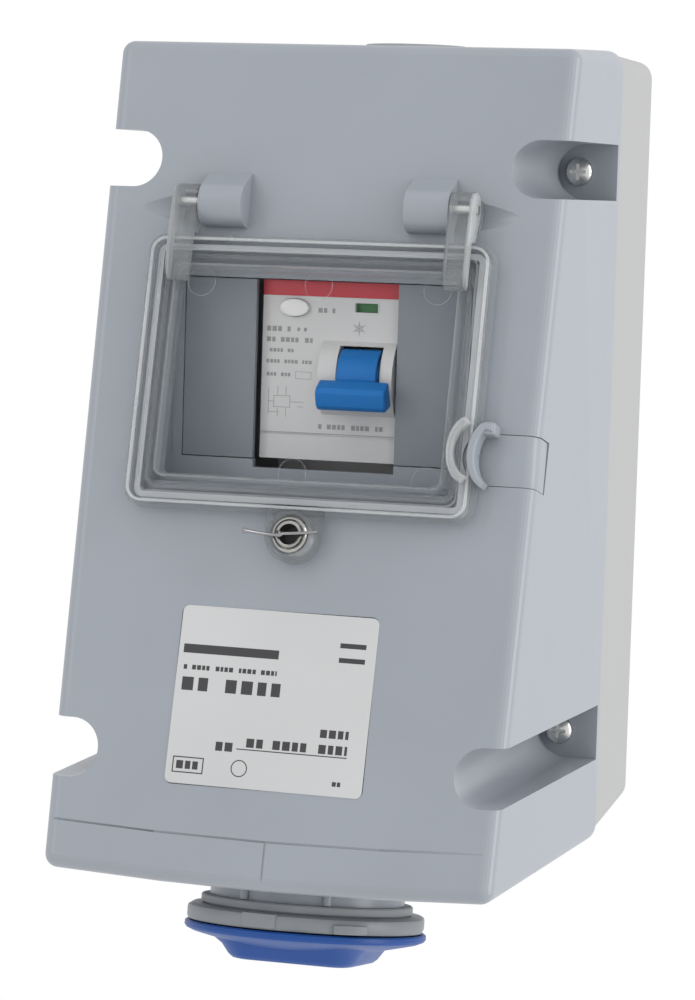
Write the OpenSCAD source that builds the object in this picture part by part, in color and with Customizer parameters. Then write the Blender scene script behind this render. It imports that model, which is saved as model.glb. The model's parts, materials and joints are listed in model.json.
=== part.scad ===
// Wall-mounted socket outlet with a built-in residual current device.
// Millimetres. X to the right, Z up, the wall is the plane Y = 0 and the front faces -Y.
// The origin is the centre of the four wall-fixing holes, on the back face.

/* [Enclosure] */
// Width of the enclosure at the seam between base and cover
body_w = 122; // [120:1:130]
// Height of the enclosure at the seam
body_h = 207; // [205:1:215]
// Depth of the rear housing, from the wall to the seam
base_d = 40; // [38:1:42]
// Depth of the sloping front face at the top edge
top_d = 87; // [86:1:90]
// Depth of the sloping front face at the bottom edge
bottom_d = 138; // [136:1:142]
// Width of the front face at its top edge
front_w_top = 120.8; // [118:0.2:121]
// Width of the front face at its bottom edge
front_w_bottom = 114.8; // [112:0.2:118]
// Wall thickness of the enclosure mouldings
wall = 2.6; // [2.2:0.1:3]
// Corner radius of the enclosure seen from the front
corner_r = 4.8; // [4:0.2:6]
// Rounding of the front edges of the cover
edge_r = 3.4; // [2.5:0.1:4]
// How far the bottom edge bows downwards in the middle
belly = 1.8; // [0:0.1:2.5]

/* [Wall fixing] */
// Distance between the wall holes across
fixing_x = 85; // [80:1:90]
// Distance between the wall holes up and down
fixing_z = 170; // [165:1:175]
// Radius of the wall holes
fixing_r = 2.6; // [2:0.1:3]

/* [Cover screws] */
// Distance from the middle to each cover screw
screw_x = 51; // [50:0.5:52]
// Height of the upper cover screws
screw_top_z = 72; // [70:0.5:74]
// Height of the lower cover screws
screw_low_z = -74; // [-76:0.5:-72]
// Radius of the round end of each screw notch
notch_r = 7.2; // [6.5:0.1:8]

/* [Window] */
// Width of the clear window lid
lid_w = 89.4; // [88:0.2:91]
// Height of the clear window lid along the sloping face
lid_h = 69.4; // [68:0.2:71]
// Centre of the window lid above the middle of the face
lid_v = 19.2; // [18.8:0.1:19.6]
// Thickness of the lid's clear plate
lid_t = 2; // [1.6:0.1:2.4]
// Height of the lid's plate above the face
lid_rise = 5.6; // [5:0.1:6]
// Hinge axis of the lid above the middle of the face
hinge_v = 62.4; // [62:0.1:63]
// Hinge axis of the lid in front of the face
hinge_w = 3.6; // [3.4:0.1:3.8]
// Radius of the lid's hinge pins
hinge_pin_r = 1.25; // [1:0.05:1.5]

/* [Residual current device] */
// Width of the two-module device
rcd_w = 35.5; // [35:0.1:36]
// Height of the device's nose
nose_h = 45; // [44:0.5:45]
// Overall height of the device
rcd_h = 85; // [84:1:86]
// Distance of the nose's front from the wall
nose_d = 94; // [93.5:0.1:94.5]
// Height of the device's centre above the origin
rcd_z = 20; // [19.5:0.1:20.5]
// Distance of the toggle's middle from the device's middle
toggle_x = 8.9; // [8.7:0.1:9]

/* [Socket] */
// Distance of the socket's axis from the wall, at the cover's bottom face
socket_d = 97.4; // [96:0.2:99]
// Forward lean of the socket's axis in degrees
socket_lean = 8; // [6:0.5:10]
// Outer radius of the spigot under the cover
spigot_r = 24.65; // [24.6:0.05:24.9]
// Radius of the socket's front flange
flange_r = 30.3; // [30:0.1:31]
// Radius of the pitch circle of the contact sleeves
sleeve_pitch_r = 11.5; // [11:0.1:12]

/* [Hidden] */
$fn = 48;

half_h = body_h / 2;
mid_d = (top_d + bottom_d) / 2;
tilt = atan((bottom_d - top_d) / body_h);
seam = -base_d;
eps = 0.05;
base_inset = 0.6;
base_draft = 0.5;
base_floor = 3;
top_draft = 1.6;
boss_r = 5;
notch_floor = 2.5;
screw_hole_r = 2.2;
pilot_r = 1.4;
screw_head_r = 3.6;
screw_spots = [
    [-screw_x, screw_top_z], [screw_x, screw_top_z], [-screw_x, screw_low_z], [screw_x, screw_low_z]
];

well_w = 80;
well_z = [-8, 47.5];
well_floor = -(nose_d + 3);
well_floor_t = 2;
module_z = [rcd_z - 22.8, rcd_z + 22.8];
nose_gap_low = 2.1;
module_w = 75;
rcd_hole_w = rcd_w + 1.4;
blank_w = (module_w - rcd_hole_w) / 2 - 0.4;

knuckle_x = [21, 32.4];
knuckle_r = 5.7;
arm_x = [32.8, 38.8];
arm_r = 4.4;
tab_v = -20.6;
tab_r = 6.8;
stud_v = -20.8;
stud_r = 3.1;
stud_hole_r = 2.7;
clip_w = 6.2;
clip_r = 0.45;
catch_v = 1.2;
catch_h = 12.4;
catch_x = 56;
catch_w = -7.6;
catch_pin_r = 0.75;

rail_d = 34;
rail_h = 35;
rail_lip = 25;
rail_depth = 7.5;
rail_t = 1;
rcd_back = -31;
shoulder = -(nose_d - 16);
case_split = -62;
case_t = 1.6;
toggle_pivot = [0, -(nose_d - 1), rcd_z - 1.4];
terminal_spots = [for (side = [-1, 1], end = [-1, 1]) [side * 8.9, rcd_z + end * 33.5]];
button_x = -9.3;
button_z = rcd_z + 15.7;
flag_x = 9.4;
flag_z = rcd_z + 16.2;

spigot_end = 10.1;
ring_end = 12.4;
flange_end = 16.6;
tube_r = 23.35;
bore_r = 21.9;
insert_r = 18.3;
insert_back = -22;
insert_face = 10;
lid_pin_y = -33;
lid_pin_z = 17.6;
lid_pin_r = 1.3;
sleeve_angles = [-30, 210];
wire_r = 1.5;

function front_depth(z) = mid_d - z * tan(tilt);
function bow(x) = belly * (1 - pow(2 * x / body_w, 2));
function socket_point(x, y, z) = [
    x,
    -socket_d - y * cos(socket_lean) - z * sin(socket_lean),
    -half_h + y * sin(socket_lean) - z * cos(socket_lean)
];
function sleeve_tail(a, back) = socket_point(
    sleeve_pitch_r * cos(a), sleeve_pitch_r * sin(a), insert_back - back
);

// Places children on the sloping face: x across, y up the slope, z out of the face.
module on_face() {
    translate([0, -mid_d, 0]) rotate([90 - tilt, 0, 0]) children();
}

// Places children on the socket's axis: z points out of the socket, y points to the front.
module on_socket() {
    translate([0, -socket_d, -half_h]) rotate([180 - socket_lean, 0, 0]) children();
}

// A cylinder along Y from y_from to y_to.
module y_cyl(r, y_from, y_to, x = 0, z = 0) {
    translate([x, y_to, z]) rotate([-90, 0, 0]) cylinder(r = r, h = y_from - y_to);
}

// A cylinder along X from x_from to x_to.
module x_cyl(r, x_from, x_to, y = 0, z = 0) {
    translate([x_from, y, z]) rotate([0, 90, 0]) cylinder(r = r, h = x_to - x_from);
}

module rounded_plan(w, h, r) {
    square([w - 2 * r, h], center = true);
    square([w, h - 2 * r], center = true);
    for (sx = [-1, 1], sy = [-1, 1])
        translate([sx * (w / 2 - r), sy * (h / 2 - r)]) circle(r);
}

module rounded_plate(w, h, t, r) {
    linear_extrude(t) rounded_plan(w, h, r);
}

// A rounded frame of rectangular section.
module rounded_frame(w, h, t, r, band) {
    linear_extrude(t) difference() {
        rounded_plan(w, h, r);
        rounded_plan(w - 2 * band, h - 2 * band, max(r - band, 0.4));
    }
}

// A block given by its low and high corners.
module span(low, high) {
    translate(low) cube([high[0] - low[0], high[1] - low[1], high[2] - low[2]]);
}

// A round wire through a list of points.
module wire(points, r) {
    for (i = [0 : len(points) - 2]) {
        step = points[i + 1] - points[i];
        length = norm(step);
        translate(points[i])
            rotate([0, acos(step[2] / length), atan2(step[1], step[0])])
            cylinder(r = r, h = length, $fn = 16);
    }
    for (i = [1 : len(points) - 2]) translate(points[i]) sphere(r = r + 0.08, $fn = 16);
}

// The closed outer form of the cover, made smaller all round by inset.
module cover_form(inset, rear) {
    rear_r = max(corner_r - inset, 1.2);
    front_r = max(edge_r - inset, 1.2);
    hull() {
        for (k = [-1, -0.5, 0, 0.5, 1]) {
            x_rear = k * (body_w / 2 - inset - rear_r);
            x_front = k * (front_w_bottom / 2 - inset - front_r);
            z_front = -half_h + inset + front_r - bow(x_rear);
            translate([x_rear, rear, -half_h + inset + rear_r - bow(x_rear)])
                rotate([90, 0, 0]) cylinder(r = rear_r, h = 0.2, $fn = 32);
            translate([x_front, (inset + front_r) / cos(tilt) - front_depth(z_front), z_front])
                sphere(r = front_r, $fn = 24);
        }
        for (sx = [-1, 1]) {
            z_front = half_h - top_draft - inset - front_r;
            translate([sx * (body_w / 2 - inset - rear_r), rear, half_h - inset - rear_r])
                rotate([90, 0, 0]) cylinder(r = rear_r, h = 0.2, $fn = 32);
            translate([
                sx * (front_w_top / 2 - inset - front_r),
                (inset + front_r) / cos(tilt) - front_depth(z_front),
                z_front
            ]) sphere(r = front_r, $fn = 24);
        }
    }
}

// One screw notch, from the given Y to well in front of the cover.
module notch_space(spot, grow, rear) {
    side = sign(spot[0]);
    y_cyl(notch_r + grow, rear, -160, spot[0] + side * 1.8, spot[1]);
    span(
        [side > 0 ? spot[0] + 1.8 : -80, -160, spot[1] - notch_r - grow],
        [side > 0 ? 80 : spot[0] - 1.8, rear, spot[1] + notch_r + grow]
    );
}

module well_space(grow, rear) {
    span(
        [-well_w / 2 - grow, -150, well_z[0] - grow],
        [well_w / 2 + grow, rear, well_z[1] + grow]
    );
}

module socket_tube_space(r) {
    on_socket() translate([0, 0, -16]) cylinder(r = r, h = 40);
}

module catch_pocket(gap) {
    on_face() translate([46.4, catch_v - catch_h / 2 - gap, -9.5])
        cube([20, catch_h + 2 * gap, 10.5]);
}

module rear_housing() {
    outer_w = body_w - 2 * base_inset;
    boss_top = seam + 0.2;
    color("#c4c6c8") difference() {
        union() {
            difference() {
                hull() {
                    for (sx = [-1, 1]) {
                        for (end = [0, 1]) {
                            y = end == 0 ? -eps : seam + 0.2;
                            lift = end == 0 ? 4.4 : base_inset - 0.2;
                            slim = end == 0 ? base_draft : 0;
                            x = sx * (outer_w / 2 - slim - corner_r);
                            translate([x, y, half_h - base_inset - slim - corner_r])
                                rotate([90, 0, 0]) cylinder(r = corner_r, h = eps, $fn = 32);
                            translate([x, y, -half_h + lift + corner_r])
                                rotate([90, 0, 0]) cylinder(r = corner_r, h = eps, $fn = 32);
                        }
                    }
                    translate([0, seam + 0.2, -half_h + corner_r - 1]) rotate([90, 0, 0])
                        cylinder(r = corner_r, h = eps, $fn = 32);
                }
                translate([0, -base_floor, 2.2]) rotate([90, 0, 0])
                    rounded_plate(outer_w - 2 * wall - 1, body_h - 2 * wall - 6.4, 60, 3);
            }
            for (spot = screw_spots) {
                side = sign(spot[0]);
                y_cyl(boss_r, -1, boss_top, spot[0], spot[1]);
                span(
                    [side > 0 ? spot[0] : -outer_w / 2 + 1.2, boss_top, spot[1] - 1.2],
                    [side > 0 ? outer_w / 2 - 1.2 : spot[0], -1, spot[1] + 1.2]
                );
            }
            for (side = [-1, 1])
                y_cyl(5, -1, -rail_d + rail_depth, side * 30, rcd_z);
            y_cyl(4, -1, -14, -30, -40);
            y_cyl(4, -1, -14, -6, -40);
        }
        for (sx = [-1, 1], sz = [-1, 1]) {
            y_cyl(fixing_r, 1, -10, sx * fixing_x / 2, sz * fixing_z / 2);
            y_cyl(5.2, -base_floor + 0.8, -10, sx * fixing_x / 2, sz * fixing_z / 2);
        }
        for (spot = screw_spots) y_cyl(pilot_r, -16, -60, spot[0], spot[1]);
        for (side = [-1, 1]) y_cyl(1.5, -12, -60, side * 30, rcd_z);
        for (x = [-30, -6]) y_cyl(1.2, -4, -30, x, -40);
        translate([0, -22, half_h - 12]) cylinder(r = 12.6, h = 30);
    }
}

module front_cover() {
    color("#a2a8b0") difference() {
        union() {
            difference() {
                cover_form(0, seam);
                difference() {
                    cover_form(wall, seam + 3);
                    for (spot = screw_spots) notch_space(spot, 2, seam + 5);
                    well_space(2, well_floor + well_floor_t);
                    on_socket() translate([0, 0, -11]) cylinder(r = 29, h = 30);
                    on_face() translate([43, catch_v - 9, -14]) cube([19, 18, 14]);
                }
            }
            for (sx = [-1, 1]) on_face() {
                x_from = sx > 0 ? knuckle_x[0] : -knuckle_x[1];
                x_cyl(knuckle_r, x_from, x_from + knuckle_x[1] - knuckle_x[0], hinge_v, 1.6);
                translate([x_from, hinge_v, 0]) rotate([90, 0, 90])
                    linear_extrude(knuckle_x[1] - knuckle_x[0])
                    polygon([[0, -0.5], [9, -0.5], [4.5, 5], [0, 5]]);
            }
            on_socket() translate([0, 0, -9]) cylinder(r = spigot_r, h = 9 + spigot_end);
        }
        span([-80, seam - 1.1, -120], [80, 10, 120]);
        for (spot = screw_spots) {
            notch_space(spot, 0, seam - notch_floor - 1);
            y_cyl(screw_hole_r, 10, -60, spot[0], spot[1]);
        }
        well_space(0, well_floor);
        span(
            [-module_w / 2, well_floor - 0.6, module_z[0]],
            [module_w / 2, well_floor + 5, module_z[1]]
        );
        span(
            [-rcd_hole_w / 2, well_floor - 0.6, module_z[0] - nose_gap_low],
            [rcd_hole_w / 2, well_floor + 5, module_z[0] + 1]
        );
        for (sx = [-1, 1]) on_face() {
            x_from = sx > 0 ? arm_x[0] - 0.4 : -arm_x[1] - 0.6;
            x_cyl(arm_r + 0.4, x_from, x_from + arm_x[1] - arm_x[0] + 1, hinge_v, hinge_w);
            translate([sx * 39.2, hinge_v - 0.8, 2.2]) rotate([0, sx * 90, 0])
                cylinder(r1 = 4.2, r2 = 2.1, h = 10.5);
            pin_from = sx > 0 ? 24 : -50;
            x_cyl(hinge_pin_r, pin_from, pin_from + 26, hinge_v, hinge_w);
        }
        on_face() translate([0, stud_v, -20]) cylinder(r = 2, h = 40);
        socket_tube_space(23.45);
        on_socket() translate([0, 0, -60]) cylinder(r = 27.6, h = 51);
        catch_pocket(0.3);
        on_face() translate([catch_x, catch_v + 20, catch_w]) rotate([90, 0, 0])
            cylinder(r = catch_pin_r + 0.02, h = 40);
        lip_groove();
        on_face() translate([-2, -61.2, -0.7]) rounded_plate(50.6, 44.2, 5, 1.8);
    }
}

// The shallow groove that runs across the face above the bottom edge.
module lip_groove() {
    groove_z = -half_h + 12.4;
    for (k = [-2 : 1]) {
        x_from = k * 29;
        x_to = x_from + 29;
        drop_from = bow(x_from);
        drop_to = bow(x_to);
        length = norm([x_to - x_from, drop_to - drop_from]);
        y = -front_depth(groove_z - drop_from);
        translate([x_from, y, groove_z - drop_from])
            rotate([0, atan2(drop_to - drop_from, x_to - x_from), 0])
            translate([-0.1, -1, -0.25]) cube([length + 0.2, 1.3, 0.5]);
    }
    on_face() span([-0.25, -half_h / cos(tilt), -0.25], [0.25, (groove_z - belly) / cos(tilt), 1]);
}

module cover_gasket() {
    color("#3b3d40") difference() {
        translate([0, seam, 0]) rotate([90, 0, 0])
            rounded_frame(body_w - 5.2, body_h - 7, 1, 3, 2);
    }
}

module cover_screws() {
    head_y = seam - notch_floor - 1;
    color("#c9c9c6") for (spot = screw_spots) difference() {
        translate([spot[0], head_y, spot[1]]) rotate([90, 0, 0]) {
            translate([0, 0, -24]) cylinder(r = pilot_r - 0.04, h = 24.2);
            cylinder(r = screw_head_r, h = 1.2);
            translate([0, 0, 1.2]) cylinder(r1 = screw_head_r, r2 = screw_head_r - 1, h = 1);
        }
        for (turn = [0, 90]) translate([spot[0], head_y - 2.4, spot[1]])
            rotate([0, turn, 0]) cube([3.4, 2.4, 0.8], center = true);
    }
}

module entry_grommet() {
    color("#8f9398") translate([0, -22, half_h - base_inset]) difference() {
        union() {
            translate([0, 0, -wall - 2]) cylinder(r = 12.5, h = wall + 2.5);
            translate([0, 0, 0.2]) cylinder(r1 = 14.5, r2 = 13.5, h = 1.5);
            translate([0, 0, -wall - 3]) cylinder(r = 13.6, h = 1.6);
        }
        translate([0, 0, -20]) cylinder(r = 5, h = 40);
        translate([0, 0, -20]) cylinder(r = 10.4, h = 17);
    }
}

module module_blanks() {
    color("#6d7278") for (sx = [-1, 1]) {
        x_mid = sx * (module_w / 2 - 0.3 - blank_w / 2);
        span(
            [x_mid - blank_w / 2, well_floor - 0.2, module_z[0] + 0.3],
            [x_mid + blank_w / 2, well_floor + 1.4, module_z[1] - 0.3]
        );
        for (z = [rcd_z - 14, rcd_z + 14])
            span([x_mid - 5, well_floor + 1, z - 1], [x_mid + 5, well_floor + 5, z + 1]);
    }
}

module rating_plate() {
    color("#d3d3d3") on_face() translate([-2, -61.2, -0.65]) rounded_plate(50, 43.6, 0.8, 1.5);
}

module hinge_pins() {
    color("#b9bbbd") on_face() for (sx = [-1, 1])
        x_cyl(hinge_pin_r - 0.05, sx > 0 ? 25 : -39.4, sx > 0 ? 39.4 : -25, hinge_v, hinge_w);
}

// A hollow stud with an open cross slot that the wire clip drops into.
module seal_stud() {
    color("#cfd0d0") on_face() translate([0, stud_v, 0]) difference() {
        union() {
            translate([0, 0, -7]) cylinder(r = 1.95, h = 8);
            cylinder(r = stud_r, h = 7);
            translate([0, 0, 0.02]) cylinder(r = 4.2, h = 0.8);
        }
        translate([0, 0, 2]) cylinder(r = stud_hole_r, h = 10);
        translate([-5, -0.75, clip_w - 0.75]) cube([10, 1.5, 5]);
    }
}

module window_lid() {
    color("#d8dde0", 0.45) on_face() difference() {
        union() {
            translate([0, lid_v, 0.3]) difference() {
                rounded_plate(lid_w, lid_h, lid_rise - 0.3, 4.5);
                translate([0, 0, -1])
                    rounded_plate(lid_w - 4, lid_h - 4, lid_rise + 0.7 - lid_t, 2.6);
            }
            translate([0, lid_v, lid_rise - lid_t - 1])
                rounded_frame(lid_w - 15, lid_h - 13, 1.6, 3, 1.4);
            for (sx = [-1, 1]) {
                x_from = sx > 0 ? arm_x[0] : -arm_x[1];
                x_cyl(arm_r, x_from, x_from + 6, hinge_v, hinge_w);
                span([x_from, hinge_v - 10, 0.5], [x_from + 6, hinge_v, hinge_w + arm_r]);
                span([x_from, 42.4, lid_rise - 0.2], [x_from + 6, hinge_v - 8, hinge_w + arm_r]);
            }
            translate([0, tab_v, 0.3]) cylinder(r = tab_r, h = 4.6);
            span([-tab_r, tab_v, 0.3], [tab_r, lid_v - lid_h / 2 + 2, 4.9]);
            translate([0, stud_v, 4.5]) cylinder(r = 5.6, h = 3);
            span([35.8, -3, lid_rise - 0.2], [41, 10.4, lid_rise + 2.6]);
        }
        for (sx = [-1, 1])
            x_cyl(hinge_pin_r + 0.02, sx > 0 ? 30 : -41, sx > 0 ? 41 : -30, hinge_v, hinge_w);
        span([40.8, catch_v - catch_h / 2 - 1.6, -1], [50, catch_v + catch_h / 2 + 1, 20]);
        translate([0, stud_v, -1]) cylinder(r = 4.6, h = 5.3);
        translate([0, stud_v, -1]) cylinder(r = stud_r + 0.9, h = 20);
        x_cyl(clip_r + 0.05, -12, 12, stud_v, clip_w);
    }
}

// The outer edge is scalloped where the catch's claw reaches over it.
module lid_gasket() {
    color("#b7bbbe") on_face() difference() {
        translate([0, lid_v, eps])
            rounded_frame(lid_w - 4.8, lid_h - 4.8, lid_rise - lid_t - 2 * eps, 2.5, 1.5);
        translate([47.4, catch_v, 2.3]) cylinder(r = 6.3, h = 8);
    }
}

module seal_clip() {
    color("#3f4144") on_face() {
        x_cyl(clip_r, -11.4, 7.6, stud_v, clip_w);
        translate([-11.4, stud_v, clip_w]) sphere(r = 0.8);
        translate([-11.4, stud_v + 1.2, clip_w]) sphere(r = 0.6);
    }
}

// A press catch let into the right side of the cover, with a curved claw beside the lid.
module lid_catch() {
    low = catch_v - catch_h / 2;
    high = catch_v + catch_h / 2;
    color("#a2a8b0") on_face() difference() {
        union() {
            span([46.9, low, -2], [catch_x + 2.8, high, 0]);
            span([catch_x - 0.6, low, -8.8], [catch_x + 2.8, high, -1]);
            span([catch_x - 1.8, catch_v - 4, catch_w - 1.5], [catch_x + 2.8, catch_v + 4, -6]);
            span([46.9, low + 1, -1.5], [48.8, high, 6.4]);
            span([43.4, high - 2.6, 2.6], [48.8, high, 6.4]);
            translate([47.4, catch_v, 2.6]) difference() {
                cylinder(r = 6, h = 3.8);
                translate([2.6, 0, -1]) cylinder(r = 5.6, h = 6);
                translate([1.4, -10, -1]) cube([20, 20, 6]);
            }
        }
        translate([catch_x, catch_v + 20, catch_w]) rotate([90, 0, 0])
            cylinder(r = catch_pin_r + 0.07, h = 40);
    }
}

module catch_pin() {
    color("#b9bbbd") on_face() translate([catch_x, catch_v + 8.6, catch_w]) rotate([90, 0, 0])
        cylinder(r = catch_pin_r, h = 17.2);
}

module din_rail() {
    color("#bdbfbd") difference() {
        union() {
            span(
                [-36, -rail_d + rail_depth - rail_t, rcd_z - rail_lip / 2],
                [36, -rail_d + rail_depth, rcd_z + rail_lip / 2]
            );
            for (s = [-1, 1]) {
                low = s > 0 ? rcd_z + rail_lip / 2 - rail_t : rcd_z - rail_lip / 2;
                span([-36, -rail_d, low], [36, -rail_d + rail_depth, low + rail_t]);
                tip = s > 0 ? rcd_z + rail_lip / 2 - rail_t : rcd_z - rail_h / 2;
                span(
                    [-36, -rail_d, tip],
                    [36, -rail_d + rail_t, tip + (rail_h - rail_lip) / 2 + rail_t]
                );
            }
        }
        for (side = [-1, 1]) y_cyl(2.1, 0, -60, side * 30, rcd_z);
    }
}

module rail_screws() {
    rail_face = -rail_d + rail_depth - rail_t;
    color("#c9c9c6") for (side = [-1, 1]) difference() {
        union() {
            y_cyl(1.5, -14, rail_face + eps, side * 30, rcd_z);
            y_cyl(3.4, rail_face, rail_face - 2.2, side * 30, rcd_z);
        }
        for (turn = [0, 90]) translate([side * 30, rail_face - 2.2, rcd_z])
            rotate([0, turn, 0]) cube([3.6, 2, 0.8], center = true);
    }
}

// Rear half of the device's case, with the notch that hooks on the rail.
module rcd_case() {
    low = rcd_z - rcd_h / 2;
    high = rcd_z + rcd_h / 2;
    side = rcd_w / 2;
    color("#c9cbca") difference() {
        span([-side, case_split, low], [side, rcd_back, high]);
        span(
            [-side + case_t, case_split - 1, low + case_t],
            [side - case_t, -rail_d - 2 - case_t, high - case_t]
        );
        span(
            [-side - 1, -rail_d - 2, rcd_z - rail_h / 2 - 0.6],
            [side + 1, -rail_d + rail_t + 0.1, rcd_z + rail_h / 2 + 0.2]
        );
        span(
            [-side - 1, -rail_d, rcd_z - rail_h / 2 - 0.6],
            [side + 1, rcd_back + 1, rcd_z + rail_h / 2 - 1.5]
        );
        span([-7.5, -rail_d - 1.6, low - 1], [7.5, rcd_back - 1.2, rcd_z - rail_h / 2 + 1]);
        span([-6.5, -rail_d + 0.8, low + 15.5], [6.5, rcd_back + 1, rcd_z - rail_h / 2]);
        for (spot = terminal_spots) {
            end = sign(spot[1] - rcd_z);
            translate([spot[0], -56, spot[1] + end * 9])
                cylinder(r = 3.6, h = 12, center = true);
        }
    }
}

// Front half of the case with the raised nose.
module rcd_front() {
    low = rcd_z - rcd_h / 2;
    high = rcd_z + rcd_h / 2;
    side = rcd_w / 2;
    nose_low = rcd_z - nose_h / 2;
    nose_high = rcd_z + nose_h / 2;
    color("#c6c8c7") difference() {
        union() {
            span([-side, shoulder, low], [side, case_split, high]);
            span([-side, -nose_d, nose_low], [side, shoulder + 1, nose_high]);
            intersection() {
                x_cyl(11.4, -1.6, side, -(nose_d - 6.6), rcd_z - 1.6);
                span([-1.6, -nose_d - 6, rcd_z - 13], [side, -nose_d + 1, rcd_z + 9.6]);
            }
        }
        span(
            [-side + case_t, shoulder + case_t, low + case_t],
            [side - case_t, case_split + 1, high - case_t]
        );
        span(
            [-side + case_t, -nose_d + case_t, nose_low + case_t],
            [side - case_t, shoulder + 3, nose_high - case_t]
        );
        span(
            [toggle_x - 5.7, -nose_d - 20, rcd_z - 9.6],
            [toggle_x + 5.7, -nose_d + 5, rcd_z + 6.6]
        );
        translate([button_x, -nose_d - 1, button_z]) rotate([-90, 0, 0])
            linear_extrude(6) rounded_plan(8, 4.8, 2.35);
        span([flag_x - 3, -nose_d - 1, flag_z - 1.2], [flag_x + 3, -nose_d + 5, flag_z + 1.2]);
        span([-side - 1, -nose_d - 1, rcd_z - 16.4], [side + 1, -nose_d + 0.4, rcd_z - 16]);
        span([-side - 1, -nose_d - 1, nose_high - 3.9], [side + 1, -nose_d + 0.3, nose_high + 1]);
        for (spot = terminal_spots) y_cyl(3.2, shoulder + 9, shoulder - 1, spot[0], spot[1]);
        toggle_trunnions(0);
    }
}

module rcd_band() {
    high = rcd_z + nose_h / 2;
    color("#a03c41") span(
        [-rcd_w / 2, -nose_d - 0.05, high - 3.85],
        [rcd_w / 2, -nose_d + 0.25, high]
    );
}

module toggle_trunnions(gap) {
    x_cyl(1 + gap, toggle_x - 8, toggle_x + 7.6, toggle_pivot[1], toggle_pivot[2]);
}

// The lever at rest points down: the device is off.
module toggle() {
    color("#1f69a8") translate([0, toggle_pivot[1], toggle_pivot[2]]) difference() {
        union() {
            x_cyl(5.2, toggle_x - 5.3, toggle_x + 5.3, 0, 0);
            rotate([24, 0, 0]) {
                span([toggle_x - 4.9, -9.8, -2.1], [toggle_x + 4.9, -1.5, 2.2]);
                x_cyl(3, toggle_x - 8.8, toggle_x + 8.8, -10.6, 0);
            }
        }
        x_cyl(1.05, toggle_x - 20, toggle_x + 20, 0, 0);
    }
}

module toggle_pin() {
    color("#b9bbbd") x_cyl(1, toggle_x - 8, toggle_x + 7.6, toggle_pivot[1], toggle_pivot[2]);
}

module test_button() {
    color("#dcdcdc") translate([button_x, -nose_d - 1.4, button_z]) rotate([-90, 0, 0]) {
        linear_extrude(5) rounded_plan(7.7, 4.5, 2.2);
        translate([0, 0, 3.4]) linear_extrude(1.6) rounded_plan(9.4, 6.2, 2.4);
        translate([0, 0, 4]) cylinder(r = 1.2, h = 4.9);
    }
}

module test_spring() {
    color("#b9bbbd") translate([button_x, -nose_d + 5.7, button_z]) rotate([-90, 0, 0])
        for (k = [0 : 3]) translate([0, 0, k * 0.75]) rotate_extrude()
            translate([1.9, 0]) circle(0.25, $fn = 16);
}

module test_blade() {
    color("#c08a4a") span(
        [button_x - 1.5, -nose_d + 9.2, button_z - 8],
        [button_x + 1.5, -nose_d + 9.6, button_z + 3]
    );
    color("#c08a4a") span(
        [button_x - 1.5, -nose_d + 9.2, button_z - 8],
        [button_x + 1.5, -nose_d + 14, button_z - 7.6]
    );
}

// The green half shows at rest; the lever lowers it so that the red half shows.
module status_flag() {
    color("#3c7846") span(
        [flag_x - 3.8, -nose_d + 1.8, flag_z - 1.7],
        [flag_x + 3.8, -nose_d + 2.4, flag_z + 4.3]
    );
}

module contact_rocker() {
    axle_y = -72;
    color("#5a4a3c") difference() {
        union() {
            x_cyl(3, -14, 14, axle_y, rcd_z);
            for (x = [-8.9, 8.9]) span([x - 2, axle_y - 1.6, rcd_z - 12], [x + 2, axle_y + 1.6, rcd_z]);
        }
        x_cyl(1.2, -20, 20, axle_y, rcd_z);
    }
    color("#c7c2b4") for (x = [-8.9, 8.9])
        y_cyl(1.6, axle_y + 2.6, axle_y + 1.5, x, rcd_z - 10.6);
}

module fixed_contacts() {
    color("#c08a4a") for (x = [-8.9, 8.9]) {
        span([x - 2.5, -65.6, rcd_z - 28.4], [x + 2.5, -64.8, rcd_z - 8]);
        y_cyl(1.6, -65.5, -66.6, x, rcd_z - 10.6);
    }
    color("#b9bbbd") x_cyl(1.15, -16.1, 16.1, -72, rcd_z);
}

module terminal_cages() {
    color("#c8c9c4") for (spot = terminal_spots) difference() {
        span([spot[0] - 4.5, -67, spot[1] - 5], [spot[0] + 4.5, -52, spot[1] + 5]);
        span([spot[0] - 3.5, -59.5, spot[1] - 6], [spot[0] + 3.5, -53, spot[1] + 6]);
        y_cyl(1.6, -50, -80, spot[0], spot[1]);
    }
}

module terminal_screws() {
    color("#d0d0cc") for (spot = terminal_spots) difference() {
        union() {
            y_cyl(1.55, -60, -70, spot[0], spot[1]);
            y_cyl(3, -68, -72, spot[0], spot[1]);
        }
        for (turn = [0, 90]) translate([spot[0], -72, spot[1]])
            rotate([0, turn, 0]) cube([4, 2, 0.9], center = true);
    }
}

module sensing_core() {
    color("#7c8087") translate([0, -48, rcd_z + 1]) rotate([90, 0, 0]) difference() {
        cylinder(r = 11, h = 9, center = true);
        cylinder(r = 6, h = 20, center = true);
    }
}

module core_winding() {
    color("#b87333") for (turn = [0 : 60 : 300]) translate([0, -48, rcd_z + 1])
        rotate([0, turn, 0]) translate([8.5, 0, 0]) difference() {
            cube([7.2, 10.8, 3], center = true);
            cube([5.7, 9.2, 6], center = true);
        }
}

module trip_relay() {
    color("#2f3135") span([-16, -59, rcd_z + 14], [-5, -46, rcd_z + 26]);
    color("#b9bbbd") y_cyl(1.2, -58.9, -62, -10.5, rcd_z + 20);
}

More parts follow.
